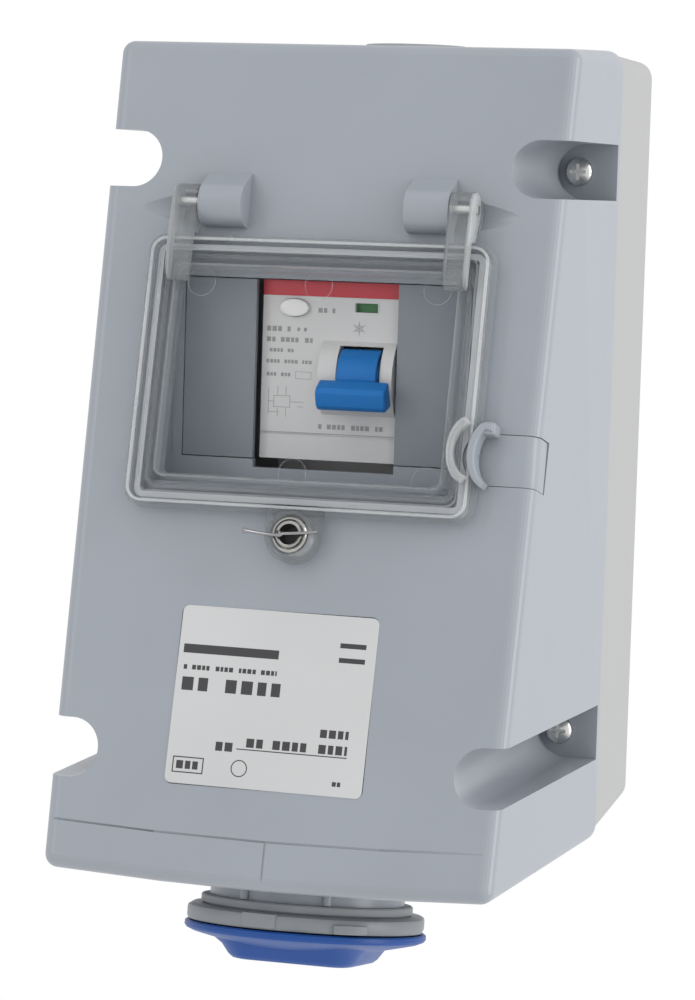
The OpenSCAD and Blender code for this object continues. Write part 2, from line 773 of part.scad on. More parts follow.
module rail_clip() {
    low = rcd_z - rcd_h / 2;
    color("#35373a") difference() {
        union() {
            span([-7, -rail_d - 1.2, low - 3], [7, rcd_back - 1.6, rcd_z - rail_h / 2 - 0.9]);
            span([-6, -rail_d + 1.2, low + 20], [6, rcd_back + 0.4, rcd_z - rail_h / 2 + 1.4]);
            span([-6, -rail_d + 0.4, low + 20], [6, rcd_back + 0.4, rcd_z - rail_h / 2 - 0.9]);
        }
        span([-3, -60, low - 2], [3, 0, low + 1]);
        span([-2.2, -60, low + 6], [2.2, 0, low + 16]);
    }
}

module clip_spring() {
    low = rcd_z - rcd_h / 2;
    color("#b9bbbd") for (k = [0 : 5]) translate([0, -rail_d + 0.1, low + 7.4 + k * 0.75])
        rotate_extrude() translate([1.2, 0]) circle(0.25, $fn = 16);
}

module earth_block() {
    color("#c9b03c") difference() {
        span([-34, -21, -45], [-2, -14, -35]);
        for (x = [-30, -6]) y_cyl(1.6, 0, -30, x, -40);
        for (x = [-24, -18, -12]) {
            y_cyl(1.5, -17.5, -30, x, -40);
            translate([x, -17.5, -50]) cylinder(r = 1.9, h = 20);
        }
    }
}

module earth_screws() {
    color("#c9c9c6") for (x = [-30, -6]) {
        y_cyl(1.2, -6, -21, x, -40);
        y_cyl(2.6, -21, -23, x, -40);
    }
    color("#c9c9c6") for (x = [-24, -18, -12]) {
        y_cyl(1.45, -19.5, -22, x, -40);
        y_cyl(2.4, -21.1, -23, x, -40);
    }
}

module line_wire() {
    color("#6b4a34") wire([
        [-8.9, -56, -11], [-8.9, -56, -34], [-14, -66, -52], sleeve_tail(210, 10), sleeve_tail(210, 0)
    ], wire_r);
}

module neutral_wire() {
    color("#2f62a8") wire([
        [8.9, -56, -11], [8.9, -56, -34], [14, -66, -52], sleeve_tail(-30, 10), sleeve_tail(-30, 0)
    ], wire_r);
}

module earth_wire() {
    color("#7a9a3a") wire([
        [-18, -17.5, -41], [-18, -17.5, -54], [-9, -44, -59], sleeve_tail(88, 13), sleeve_tail(90, 0)
    ], wire_r);
}

module socket_body() {
    color("#8f9499") on_socket() difference() {
        union() {
            translate([0, 0, -14]) cylinder(r = tube_r, h = 14 + flange_end);
            translate([0, 0, ring_end]) cylinder(r = flange_r, h = flange_end - ring_end);
            for (x_from = [-9, 5]) {
                span([x_from, lid_pin_y - 2.6, ring_end], [x_from + 4, lid_pin_y + 2.6, lid_pin_z]);
                span([x_from, lid_pin_y, ring_end], [x_from + 4, lid_pin_y + 8, flange_end]);
                x_cyl(2.55, x_from, x_from + 4, lid_pin_y, lid_pin_z);
            }
        }
        translate([0, 0, -20]) cylinder(r = bore_r - 0.4, h = 60);
        translate([0, 0, insert_face]) cylinder(r = bore_r, h = 60);
        translate([0, bore_r, 6]) cube([5, 3, 40], center = true);
        x_cyl(lid_pin_r, -20, 20, lid_pin_y, lid_pin_z);
    }
}

module socket_gasket() {
    color("#85898e") on_socket() translate([0, 0, spigot_end]) difference() {
        cylinder(r = 26.7, h = ring_end - spigot_end);
        translate([0, 0, -1]) cylinder(r = tube_r + 0.05, h = 10);
    }
}

module socket_nut() {
    color("#4a4d51") on_socket() translate([0, 0, -13]) difference() {
        cylinder(r = 27, h = 4);
        translate([0, 0, -1]) cylinder(r = tube_r + 0.05, h = 10);
    }
}

module sleeve_places() {
    for (a = sleeve_angles) rotate([0, 0, a]) translate([sleeve_pitch_r, 0, 0]) children();
}

module socket_insert() {
    color("#33363b") on_socket() difference() {
        union() {
            translate([0, 0, insert_back]) cylinder(r = insert_r, h = insert_face - insert_back);
            translate([0, 0, -10]) cylinder(r = bore_r - 0.45, h = 4);
        }
        sleeve_places() translate([0, 0, insert_back - 1]) cylinder(r = 3.6, h = 60);
        translate([0, sleeve_pitch_r, insert_back - 1]) cylinder(r = 4.6, h = 60);
        for (a = sleeve_angles) rotate([0, 0, a]) translate([6, -1.6, insert_back + 4])
            cube([20, 3.2, 3.2]);
    }
}

// Tubular contact with a wire hole at the back and a clamping screw hole.
module sleeve(r, bore) {
    translate([0, 0, insert_back - 4]) difference() {
        cylinder(r = r, h = insert_face - insert_back + 1);
        translate([0, 0, 12]) cylinder(r = bore, h = 60);
        translate([0, 0, -1]) cylinder(r = 1.6, h = 10);
    }
}

module power_sleeves() {
    color("#c9b26a") on_socket() sleeve_places() sleeve(3.55, 2.6);
}

module earth_sleeve() {
    color("#c9b26a") on_socket() translate([0, sleeve_pitch_r, 0]) sleeve(4.55, 3.6);
}

module sleeve_screws() {
    color("#c9c9c6") on_socket() for (a = sleeve_angles) rotate([0, 0, a])
        translate([sleeve_pitch_r + 3.6, 0, insert_back + 5.6]) rotate([0, 90, 0])
        cylinder(r = 1.4, h = 3);
}

// Hinged cap of the socket with a raised grip pad.
module socket_lid() {
    color("#3f5fa6") on_socket() difference() {
        union() {
            translate([0, 0, flange_end + 0.3]) difference() {
                cylinder(r = flange_r + 0.1, h = 2.9);
                translate([0, 0, -1]) cylinder(r = bore_r + 2.6, h = 2.4);
            }
            translate([0, 0, flange_end + 3.1]) cylinder(r1 = flange_r, r2 = 19, h = 2.6);
            translate([0, 0, flange_end + 5.2]) rounded_plate(36, 34, 1.8, 6);
            translate([0, 0, flange_end + 6.8]) rounded_plate(31, 29, 2, 5);
            span([-4.6, lid_pin_y, flange_end + 0.3], [4.6, lid_pin_y + 8, flange_end + 3.2]);
            x_cyl(2.5, -4.6, 4.6, lid_pin_y, lid_pin_z);
        }
        x_cyl(lid_pin_r + 0.02, -20, 20, lid_pin_y, lid_pin_z);
        span([-2.1, lid_pin_y - 4, lid_pin_z - 4], [2.1, lid_pin_y + 2.4, lid_pin_z + 4]);
    }
}

module socket_lid_seal() {
    color("#2d2f33") on_socket() translate([0, 0, flange_end + 0.32]) difference() {
        cylinder(r = bore_r + 2.4, h = 1.3);
        translate([0, 0, -1]) cylinder(r = bore_r - 0.4, h = 6);
    }
}

module socket_lid_pin() {
    color("#b9bbbd") on_socket() x_cyl(lid_pin_r - 0.05, -8.8, 8.8, lid_pin_y, lid_pin_z);
}

module socket_lid_spring() {
    color("#b9bbbd") on_socket() for (k = [0 : 4])
        translate([-1.6 + k * 0.8, lid_pin_y, lid_pin_z]) rotate([0, 90, 0])
        rotate_extrude() translate([1.85, 0]) circle(0.25, $fn = 16);
}

rear_housing();
front_cover();
cover_gasket();
cover_screws();
entry_grommet();
module_blanks();
rating_plate();
hinge_pins();
seal_stud();
window_lid();
lid_gasket();
seal_clip();
lid_catch();
catch_pin();
din_rail();
rail_screws();
rcd_case();
rcd_front();
rcd_band();
toggle();
toggle_pin();
test_button();
test_spring();
test_blade();
status_flag();
contact_rocker();
fixed_contacts();
terminal_cages();
terminal_screws();
sensing_core();
core_winding();
trip_relay();
rail_clip();
clip_spring();
earth_block();
earth_screws();
line_wire();
neutral_wire();
earth_wire();
socket_body();
socket_gasket();
socket_nut();
socket_insert();
power_sleeves();
earth_sleeve();
sleeve_screws();
socket_lid();
socket_lid_seal();
socket_lid_pin();
socket_lid_spring();
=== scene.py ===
"""Looks of a wall-mounted socket outlet with a built-in residual current device."""

import json
import math

import bmesh
import bpy
from mathutils import Matrix, Vector


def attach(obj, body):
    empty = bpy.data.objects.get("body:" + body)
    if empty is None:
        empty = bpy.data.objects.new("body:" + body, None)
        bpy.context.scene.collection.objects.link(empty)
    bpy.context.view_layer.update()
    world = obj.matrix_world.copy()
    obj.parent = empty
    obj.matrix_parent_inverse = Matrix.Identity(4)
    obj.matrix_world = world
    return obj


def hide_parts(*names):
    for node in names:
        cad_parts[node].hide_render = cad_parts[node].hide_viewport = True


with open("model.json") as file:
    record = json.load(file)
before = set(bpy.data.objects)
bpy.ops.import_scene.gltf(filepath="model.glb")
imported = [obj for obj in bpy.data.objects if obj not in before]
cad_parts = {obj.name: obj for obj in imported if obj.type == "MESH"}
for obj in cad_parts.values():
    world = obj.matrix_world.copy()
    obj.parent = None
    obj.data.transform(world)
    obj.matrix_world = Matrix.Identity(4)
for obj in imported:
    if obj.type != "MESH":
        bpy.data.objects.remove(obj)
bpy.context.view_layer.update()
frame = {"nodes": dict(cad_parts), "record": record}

MM = 0.001
HALF_H = 103.5
TOP_D, BOTTOM_D = 87.0, 138.0
MID_D = (TOP_D + BOTTOM_D) / 2
TILT = math.atan((BOTTOM_D - TOP_D) / (2 * HALF_H))
NOSE_D, RCD_Z = 94.0, 20.0
NOSE_W, NOSE_H = 35.5, 45.0
SOCKET_D, SOCKET_LEAN = 97.4, 8.0
FLAG_X, FLAG_Y = 9.4, 16.2
BUTTON_X, BUTTON_Y = -9.3, 15.7
CAP_PIN_Y, CAP_PIN_Z = -33, 17.6

LID_W, LID_H, LID_V, LID_R = 89.4, 69.4, 19.2, 4.5
LID_LOW, LID_TOP = 0.3, 5.6
HINGE_V, HINGE_W = 62.4, 3.6
ARM_X = (32.8, 38.8)
STUD_V = -20.8
CATCH_V, CATCH_H = 1.2, 12.4
LABEL_X, LABEL_V, LABEL_W, LABEL_H = -2.0, -61.2, 50.0, 43.6
SCREW_X, SCREW_TOP_Z, SCREW_LOW_Z, SCREW_HEAD_R, SCREW_SEAT = 51.0, 72.0, -74.0, 3.6, 43.5


def turned(point, angle):
    """A matrix from local millimetres to the frame's metres: a place and a turn about X."""
    return (
        Matrix.Translation(Vector(point) * MM)
        @ Matrix.Rotation(math.radians(angle), 4, "X")
        @ Matrix.Scale(MM, 4)
    )


FACE = turned((0, -MID_D, 0), 90 - math.degrees(TILT))
NOSE = turned((0, -NOSE_D, RCD_Z), 90)
SOCKET = turned((0, -SOCKET_D, -HALF_H), 180 - SOCKET_LEAN)


# ---------------------------------------------------------------- materials


def new_material(name):
    material = bpy.data.materials.new(name)
    material.use_nodes = True
    return material, material.node_tree.nodes, material.node_tree.links


def noise_at(nodes, links, scale, detail=3.0):
    place = nodes.new("ShaderNodeTexCoord")
    noise = nodes.new("ShaderNodeTexNoise")
    noise.inputs["Scale"].default_value = scale
    noise.inputs["Detail"].default_value = detail
    links.new(place.outputs["Object"], noise.inputs["Vector"])
    return noise.outputs["Fac"]


def mapped(nodes, links, value, low, high):
    span = nodes.new("ShaderNodeMapRange")
    span.inputs["From Min"].default_value = 0.3
    span.inputs["From Max"].default_value = 0.7
    span.inputs["To Min"].default_value = low
    span.inputs["To Max"].default_value = high
    links.new(value, span.inputs["Value"])
    return span.outputs["Result"]


def shaded(nodes, links, value, color, spread):
    """A colour that wanders by spread either way around the given one."""
    mix = nodes.new("ShaderNodeMix")
    mix.data_type = "RGBA"
    mix.inputs["A"].default_value = (*[max(c * (1 - spread), 0) for c in color], 1)
    mix.inputs["B"].default_value = (*[min(c * (1 + spread), 1) for c in color], 1)
    links.new(mapped(nodes, links, value, 0.0, 1.0), mix.inputs["Factor"])
    return mix.outputs["Result"]


def bumped(nodes, links, value, strength, distance):
    bump = nodes.new("ShaderNodeBump")
    bump.inputs["Strength"].default_value = strength
    bump.inputs["Distance"].default_value = distance
    links.new(value, bump.inputs["Height"])
    return bump.outputs["Normal"]


def plastic(name, color, rough=0.45, grain=3200.0, strength=0.12, spread=0.03, specular=0.5):
    """Moulded plastic: slow mottling, a fine spark-eroded grain and uneven gloss."""
    material, nodes, links = new_material(name)
    shader = nodes["Principled BSDF"]
    slow = noise_at(nodes, links, 35.0, 4.0)
    fine = noise_at(nodes, links, grain, 2.0)
    links.new(shaded(nodes, links, slow, color, spread), shader.inputs["Base Color"])
    links.new(mapped(nodes, links, slow, rough - 0.05, rough + 0.05), shader.inputs["Roughness"])
    links.new(bumped(nodes, links, fine, strength, 0.00006), shader.inputs["Normal"])
    shader.inputs["Specular IOR Level"].default_value = specular
    return material


def metal(name, color, rough=0.28, grain=900.0, strength=0.15):
    material, nodes, links = new_material(name)
    shader = nodes["Principled BSDF"]
    slow = noise_at(nodes, links, 260.0, 4.0)
    fine = noise_at(nodes, links, grain, 5.0)
    links.new(shaded(nodes, links, slow, color, 0.08), shader.inputs["Base Color"])
    links.new(mapped(nodes, links, slow, rough - 0.07, rough + 0.07), shader.inputs["Roughness"])
    links.new(bumped(nodes, links, fine, strength, 0.00003), shader.inputs["Normal"])
    shader.inputs["Metallic"].default_value = 1.0
    return material


def clear_plastic(name, color=(0.3, 0.32, 0.34), base=0.002, edge=0.4, rough=0.05):
    """Clear plastic: nearly invisible face on, and whiter where it is seen edge on."""
    material, nodes, links = new_material(name)
    shader = nodes["Principled BSDF"]
    slow = noise_at(nodes, links, 90.0, 3.0)
    links.new(shaded(nodes, links, slow, color, 0.04), shader.inputs["Base Color"])
    links.new(mapped(nodes, links, slow, rough - 0.03, rough + 0.03), shader.inputs["Roughness"])
    rim = nodes.new("ShaderNodeLayerWeight")
    rim.inputs["Blend"].default_value = 0.28
    curve = nodes.new("ShaderNodeMapRange")
    curve.inputs["To Min"].default_value = base
    curve.inputs["To Max"].default_value = edge
    links.new(rim.outputs["Fresnel"], curve.inputs["Value"])
    links.new(curve.outputs["Result"], shader.inputs["Alpha"])
    shader.inputs["IOR"].default_value = 1.5
    return material


MATERIALS = {
    "housing_grey": plastic("housing_grey", (0.348, 0.352, 0.356), 0.5, strength=0.1, spread=0.02),
    "cover_grey": plastic("cover_grey", (0.275, 0.3, 0.335), 0.34, strength=0.1, spread=0.025),
    "gasket": plastic("gasket", (0.045, 0.047, 0.05), 0.8, 1500.0, 0.4),
    "gasket_grey": plastic("gasket_grey", (0.27, 0.285, 0.3), 0.6, 1800.0, 0.25),
    "lid_gasket": plastic("lid_gasket", (0.46, 0.48, 0.5), 0.6, 1800.0, 0.2),
    "steel": metal("steel", (0.62, 0.62, 0.61), 0.3),
    "nickel": metal("nickel", (0.36, 0.355, 0.34), 0.2),
    "dark_steel": metal("dark_steel", (0.3, 0.3, 0.31), 0.22),
    "zinc": metal("zinc", (0.55, 0.56, 0.56), 0.38),
    "grommet": plastic("grommet", (0.28, 0.3, 0.32), 0.65, 1800.0, 0.25),
    # The blanks are the cover's plastic made darker: painted shade for the well under the lid.
    "blank": plastic("blank", (0.2, 0.228, 0.255), 0.5),
    "label": plastic("label", (0.5, 0.505, 0.51), 0.35, 5000.0, 0.05, 0.02),
    "clear": clear_plastic("clear"),
    "rcd_case": plastic("rcd_case", (0.5, 0.51, 0.51), 0.5),
    "rcd_front": plastic("rcd_front", (0.6, 0.6, 0.6), 0.42, strength=0.08, spread=0.02),
    "red_band": plastic("red_band", (0.5, 0.03, 0.045), 0.35, strength=0.05),
    "blue": plastic("blue", (0.0, 0.15, 0.47), 0.45, strength=0.08, specular=0.3),
    "button": plastic("button", (0.8, 0.8, 0.79), 0.3, strength=0.05, spread=0.02),
    "green": plastic("green", (0.03, 0.17, 0.045), 0.4, strength=0.06),
    "copper": metal("copper", (0.72, 0.38, 0.18), 0.34),
    "rocker": plastic("rocker", (0.1, 0.07, 0.045), 0.5),
    "core": plastic("core", (0.2, 0.215, 0.24), 0.5, 1600.0, 0.3),
    "relay": plastic("relay", (0.03, 0.032, 0.035), 0.4),
    "black": plastic("black", (0.035, 0.037, 0.04), 0.5),
    "brass": metal("brass", (0.7, 0.55, 0.25), 0.26),
    "wire_brown": plastic("wire_brown", (0.15, 0.07, 0.035), 0.45),
    "wire_blue": plastic("wire_blue", (0.03, 0.12, 0.39), 0.45),
    "wire_green": plastic("wire_green", (0.2, 0.32, 0.04), 0.45),
    "socket_grey": plastic("socket_grey", (0.2, 0.215, 0.23), 0.42, strength=0.1),
    "insert": plastic("insert", (0.03, 0.034, 0.04), 0.45),
    "lid_blue": plastic("lid_blue", (0.008, 0.06, 0.26), 0.4, strength=0.06, specular=0.3),
}
INK = plastic("ink", (0.03, 0.03, 0.033), 0.5, spread=0.1)
PALE_INK = plastic("pale_ink", (0.28, 0.285, 0.29), 0.5, spread=0.06)
RIM_CLEAR = clear_plastic("clear_rim", (0.48, 0.51, 0.53), 0.13, 0.6, 0.12)
ARM_CLEAR = clear_plastic("clear_arm", (0.42, 0.445, 0.46), 0.2, 0.85, 0.12)
# Paler and less clear than the lid: painted highlight for the bright lines on the lid's edges, arms and
# ear.
HIGHLIGHT_CLEAR = clear_plastic("clear_painted_highlight", (0.7, 0.72, 0.73), 0.32, 0.85, 0.15)
MARK_CLEAR = clear_plastic("clear_mark", (0.5, 0.53, 0.55), 0.16, 0.7, 0.2)


# ---------------------------------------------------------------- mesh helpers


def finish_piece(name, bm, place, slot, body="enclosure", nodes=(), angle=35, material=None):
    """Turns a bmesh in local millimetres into a piece that rides on a body."""
    bmesh.ops.recalc_face_normals(bm, faces=bm.faces)
    mesh = bpy.data.meshes.new(name)
    bm.to_mesh(mesh)
    bm.free()
    mesh.transform(place)
    mesh.shade_smooth()
    mesh.set_sharp_from_angle(angle=math.radians(angle))
    piece = bpy.data.objects.new(name, mesh)
    bpy.context.scene.collection.objects.link(piece)
    mesh.materials.append(material or MATERIALS[slot])
    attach(piece, body)
    if nodes:
        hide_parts(*nodes)
    return piece


def rounded_outline(w, h, r, x=0.0, y=0.0, steps=8):
    points = []
    for corner in range(4):
        cx = (w / 2 - r) * (1 if corner in (0, 3) else -1)
        cy = (h / 2 - r) * (1 if corner in (0, 1) else -1)
        for k in range(steps + 1):
            a = math.pi / 2 * (corner + k / steps)
            points.append((x + cx + r * math.cos(a), y + cy + r * math.sin(a)))
    return points


def oval_outline(rx, ry, x=0.0, y=0.0, steps=40):
    turn = 2 * math.pi / steps
    return [(x + rx * math.cos(k * turn), y + ry * math.sin(k * turn)) for k in range(steps)]


def add_prism(bm, points, low, high, round_top=0.0, round_low=0.0, segments=3):
    """A straight prism on an outline, with its top and bottom edges rounded if asked."""
    verts = [bm.verts.new((x, y, low)) for x, y in points]
    face = bm.faces.new(verts)
    made = bmesh.ops.extrude_face_region(bm, geom=[face])["geom"]
    top = [g for g in made if isinstance(g, bmesh.types.BMVert)]
    bmesh.ops.translate(bm, verts=top, vec=(0, 0, high - low))
    for ring, radius in ((top, round_top), (verts, round_low)):
        if radius:
            ring_set = set(ring)
            edges = [e for e in bm.edges if e.verts[0] in ring_set and e.verts[1] in ring_set]
            bmesh.ops.bevel(bm, geom=edges, offset=radius, segments=segments, profile=0.5,
                            affect="EDGES", clamp_overlap=True)


def prism(points, low, high, round_top=0.0, round_low=0.0, segments=3):
    bm = bmesh.new()
    add_prism(bm, points, low, high, round_top, round_low, segments)
    return bm


def box_outline(x0, x1, y0, y1):
    return [(x0, y0), (x1, y0), (x1, y1), (x0, y1)]


def add_side_prism(bm, points, x0, x1, bevel=0.0, segments=3):
    """A prism along X on an outline given in (y, z)."""
    before = set(bm.verts)
    low = [bm.verts.new((x0, y, z)) for y, z in points]
    face = bm.faces.new(low)
    made = bmesh.ops.extrude_face_region(bm, geom=[face])["geom"]
    high = [g for g in made if isinstance(g, bmesh.types.BMVert)]
    bmesh.ops.translate(bm, verts=high, vec=(x1 - x0, 0, 0))
    if bevel:
        for ring in (low, high):
            ring_set = set(ring)
            edges = [e for e in bm.edges if e.verts[0] in ring_set and e.verts[1] in ring_set]
            bmesh.ops.bevel(bm, geom=edges, offset=bevel, segments=segments, profile=0.5,
                            affect="EDGES", clamp_overlap=True)
    return [v for v in bm.verts if v not in before]


def add_lathe(bm, profile, steps=96, x=0.0, y=0.0, closed=True):
    """Turns a profile of (radius, height) points about the local Z axis."""
    rings = []
    for r, z in profile:
        if r < 1e-6:
            rings.append([bm.verts.new((x, y, z))])
            continue
        turn = 2 * math.pi / steps
        rings.append([bm.verts.new((x + r * math.cos(k * turn), y + r * math.sin(k * turn), z))
                      for k in range(steps)])
    pairs = list(zip(rings, rings[1:]))
    if closed:
        pairs.append((rings[-1], rings[0]))
    for a, b in pairs:
        if len(a) == 1 and len(b) == 1:
            continue
        for k in range(steps):
            n = (k + 1) % steps
            corners = [a[0], b[k], b[n]] if len(a) == 1 else (
                [a[k], a[n], b[0]] if len(b) == 1 else [a[k], a[n], b[n], b[k]])
            bm.faces.new(corners)


def add_tube(bm, path, radius, steps=12):
    """A round rod along a list of points, with domed ends."""
    points = [Vector(p) for p in path]
    rings = []
    normal = None
    for i, p in enumerate(points):
        ahead = points[min(i + 1, len(points) - 1)] - points[max(i - 1, 0)]
        ahead.normalize()
        if normal is None:
            normal = ahead.orthogonal().normalized()
        normal = (normal - ahead * normal.dot(ahead)).normalized()
        side = ahead.cross(normal)
        rings.append([bm.verts.new(p + radius * (normal * math.cos(2 * math.pi * k / steps)
                                                 + side * math.sin(2 * math.pi * k / steps)))
                      for k in range(steps)])
    for a, b in zip(rings, rings[1:]):
        for k in range(steps):
            n = (k + 1) % steps
            bm.faces.new([a[k], a[n], b[n], b[k]])
    for ring, flip in ((rings[0], True), (rings[-1], False)):
        bm.faces.new(list(reversed(ring)) if flip else ring)


def add_frame(bm, outer, inner, low, high, bevel=0.0):
    """A closed band between two outlines with the same number of points."""
    rings = []
    for points, z in ((outer, low), (outer, high), (inner, high), (inner, low)):
        rings.append([bm.verts.new((x, y, z)) for x, y in points])
    count = len(outer)
    for i in range(4):
        a, b = rings[i], rings[(i + 1) % 4]
        for k in range(count):
            n = (k + 1) % count
            bm.faces.new([a[k], a[n], b[n], b[k]])
    if bevel:
        tops = set(rings[1]) | set(rings[2])
        edges = [e for e in bm.edges if e.verts[0] in tops and e.verts[1] in tops
                 and (e.verts[0] in rings[1]) == (e.verts[1] in rings[1])]
        bmesh.ops.bevel(bm, geom=edges, offset=bevel, segments=3, profile=0.5,
                        affect="EDGES", clamp_overlap=True)


def cut_with(piece, cutters, operation="DIFFERENCE"):
    """Applies solid cutters, given as bmesh and place pairs, to a piece."""
    for bm, place in cutters:
        bmesh.ops.recalc_face_normals(bm, faces=bm.faces)
        mesh = bpy.data.meshes.new("cutter")
        bm.to_mesh(mesh)
        bm.free()
        mesh.transform(place)
        tool = bpy.data.objects.new("cutter", mesh)
        bpy.context.scene.collection.objects.link(tool)
        step = piece.modifiers.new("cut", "BOOLEAN")
        step.operation = operation
        step.solver = "EXACT"
        step.object = tool
        bpy.context.view_layer.update()
        ready = piece.evaluated_get(bpy.context.evaluated_depsgraph_get())
        result = bpy.data.meshes.new_from_object(ready)
        piece.modifiers.clear()
        old = piece.data
        piece.data = result
        bpy.data.meshes.remove(old)
        bpy.data.objects.remove(tool)
    piece.data.shade_smooth()
    piece.data.set_sharp_from_angle(angle=math.radians(35))


# ---------------------------------------------------------------- carried-over nodes


def finish_cad_nodes():
    """Gives each CAD node its material, and softens its edges with a small bevel."""
    soft = {
        "rear_housing": 0.8, "front_cover": 0.35, "module_blanks": 0.2, "entry_grommet": 0.3,
        "rating_plate": 0.05, "cover_screws": 0.15, "rcd_case": 0.3, "rcd_front": 0.3,
        "rcd_band": 0.02, "earth_block": 0.2, "terminal_cages": 0.2,
    }
    for part in frame["record"]["subparts"]:
        node = frame["nodes"][part["node"]]
        node.data.materials.clear()
        node.data.materials.append(MATERIALS[part["material_slot"]])
        flat = node.modifiers.new("merge_flats", "DECIMATE")
        flat.decimate_type = "DISSOLVE"
        flat.angle_limit = math.radians(0.6)
        width = soft.get(part["node"])
        if width:
            edge = node.modifiers.new("soft_edges", "BEVEL")
            edge.width = width * MM
            edge.segments = 3
            edge.limit_method = "ANGLE"
            edge.angle_limit = math.radians(40)
            edge.use_clamp_overlap = True
        node.data.shade_smooth()
        node.data.set_sharp_from_angle(angle=math.radians(30))
        weighted = node.modifiers.new("even_normals", "WEIGHTED_NORMAL")
        weighted.keep_sharp = True
        weighted.weight = 80


# ---------------------------------------------------------------- clear window lid


def lid_body():
    """The lid's rim."""
    bm = bmesh.new()
    outer = rounded_outline(LID_W, LID_H, LID_R, 0, LID_V)
    inner = rounded_outline(LID_W - 3.4, LID_H - 3.4, LID_R - 1.7, 0, LID_V)
    add_frame(bm, outer, inner, LID_LOW, LID_TOP - 0.9, 0.5)
    finish_piece("window_lid_rim", bm, FACE, "clear", "window", ["window_lid"], 40, RIM_CLEAR)


def lid_plate():
    bm = prism(rounded_outline(LID_W - 3.2, LID_H - 3.2, LID_R - 1.4, 0, LID_V),
               LID_TOP - 2.0, LID_TOP, 0.9)
    finish_piece("window_lid_plate", bm, FACE, "clear", "window")


def lid_ridges():
    """Two ridges under the plate that press on the seal."""
    for name, inset, band, low in (("outer", 9.6, 1.2, 1.2), ("inner", 14.6, 1.4, 0.4)):
        bm = bmesh.new()
        w, h = LID_W - inset, LID_H - inset
        add_frame(bm, rounded_outline(w, h, 3.4, 0, LID_V),
                  rounded_outline(w - 2 * band, h - 2 * band, 2.2, 0, LID_V),
                  low, LID_TOP - 1.9)
        finish_piece(f"window_lid_ridge_{name}", bm, FACE, "clear", "window", (), 40, RIM_CLEAR)


def arm_profile():
    """The side outline of a hinge arm in (v, w), from the lid's plate round the pin."""
    points = [(41.6, LID_TOP - 0.1), (42.6, 7.0), (45.5, 8.4), (52.0, 8.7), (57.5, 8.3)]
    for k in range(13):
        a = math.radians(105 - k * 19)
        points.append((HINGE_V + 4.5 * math.cos(a), HINGE_W + 4.5 * math.sin(a)))
    points += [(57.0, 1.2), (54.3, 2.4), (53.6, LID_TOP - 0.2)]
    return points


def lid_arms():
    for side, name in ((-1, "left"), (1, "right")):
        bm = bmesh.new()
        low, high = sorted((side * ARM_X[0], side * ARM_X[1]))
        add_side_prism(bm, arm_profile(), low, high, 0.55)
        finish_piece(f"lid_arm_{name}", bm, FACE, "clear", "window", (), 40, ARM_CLEAR)
        # A thin rib on each arm's inner side in the highlight material: a painted highlight along the
        # arm's edge.
        bm = bmesh.new()
        edge = low - 0.1 if side < 0 else high - 0.9
        rib = arm_profile()
        centre_v = sum(v for v, _ in rib) / len(rib)
        rib = [(centre_v + (v - centre_v) * 0.985, 3.6 + (w - 3.6) * 0.97) for v, w in rib]
        add_side_prism(bm, rib, edge, edge + 1.0, 0.3)
        finish_piece(f"lid_arm_highlight_rib_{name}", bm, FACE, "clear", "window", (), 40, HIGHLIGHT_CLEAR)


def lid_tab():
    """The clear tab that goes over the sealing stud."""
    points = []
    for k in range(25):
        a = math.radians(180 + k * 7.5)
        points.append((6.9 * math.cos(a), STUD_V + 0.2 + 6.9 * math.sin(a)))
    points += [(6.9, -14.0), (-6.9, -14.0)]
    tab = finish_piece("lid_tab", prism(points, 0.3, 5.0, 0.7), FACE, "clear", "window", (), 40,
                       RIM_CLEAR)
    cut_with(tab, [(prism(oval_outline(4.7, 4.7, 0, STUD_V), -1, 9), FACE)])
    bm = bmesh.new()
    add_lathe(bm, [(4.75, 0.9), (6.0, 0.9), (6.0, 5.6), (5.6, 6.1), (5.2, 6.1), (4.75, 5.6)],
              64, 0, STUD_V)
    finish_piece("lid_tab_collar", bm, FACE, "clear", "window", (), 40, RIM_CLEAR)


def lid_ear():
    """The bulge beside the catch, where the lid gives the claw room, drawn in the highlight material so
    its facets carry painted highlights.
    """
    points = []
    for k in range(17):
        a = math.radians(100 + k * 10)
        points.append((42.8 + 5.0 * math.cos(a), 2.2 + 8.2 * math.sin(a)))
    ear = bmesh.new()
    inner = [(x + 1.6, 2.2 + (y - 2.2) * 0.8) for x, y in points]
    outline = points + list(reversed(inner))
    add_prism(ear, outline, LID_TOP - 0.6, LID_TOP + 2.4, 0.5)
    finish_piece("lid_ear", ear, FACE, "clear", "window", (), 40, HIGHLIGHT_CLEAR)


def lid_highlight_beads():
    """Thin ridges that run round the lid just inside its rim, whose pale, half-opaque finish paints
    bright highlight lines.
    """
    for name, inset, wide, lift in (("outer", 2.0, 0.7, 0.35), ("middle", 7.2, 0.45, 0.12),
                                    ("inner", 15.2, 0.5, 0.12)):
        bm = bmesh.new()
        w, h, r = LID_W - inset, LID_H - inset, max(LID_R - inset / 4, 2.4)
        add_frame(bm, rounded_outline(w, h, r, 0, LID_V),
                  rounded_outline(w - 2 * wide, h - 2 * wide, r - wide, 0, LID_V),
                  LID_TOP - 0.3, LID_TOP + lift, 0.1)
        finish_piece(f"lid_bead_{name}", bm, FACE, "clear", "window", (), 40,
                     HIGHLIGHT_CLEAR if name == "outer" else MARK_CLEAR)


def lid_gate_marks():
    """Faint moulding circles in the lid's plate."""
    spots = [(-29.5, 41.5), (1.0, 41.5), (31.5, 41.5), (-1.0, -5.5), (33.0, -6.0)]
    for number, (x, v) in enumerate(spots):
        bm = bmesh.new()
        add_frame(bm, oval_outline(3.6, 3.6, x, v), oval_outline(3.45, 3.45, x, v),
                  LID_TOP - 0.02, LID_TOP + 0.05)
        finish_piece(f"lid_mark_{number}", bm, FACE, "clear", "window", (), 40, MARK_CLEAR)


# ---------------------------------------------------------------- sealing stud and clip


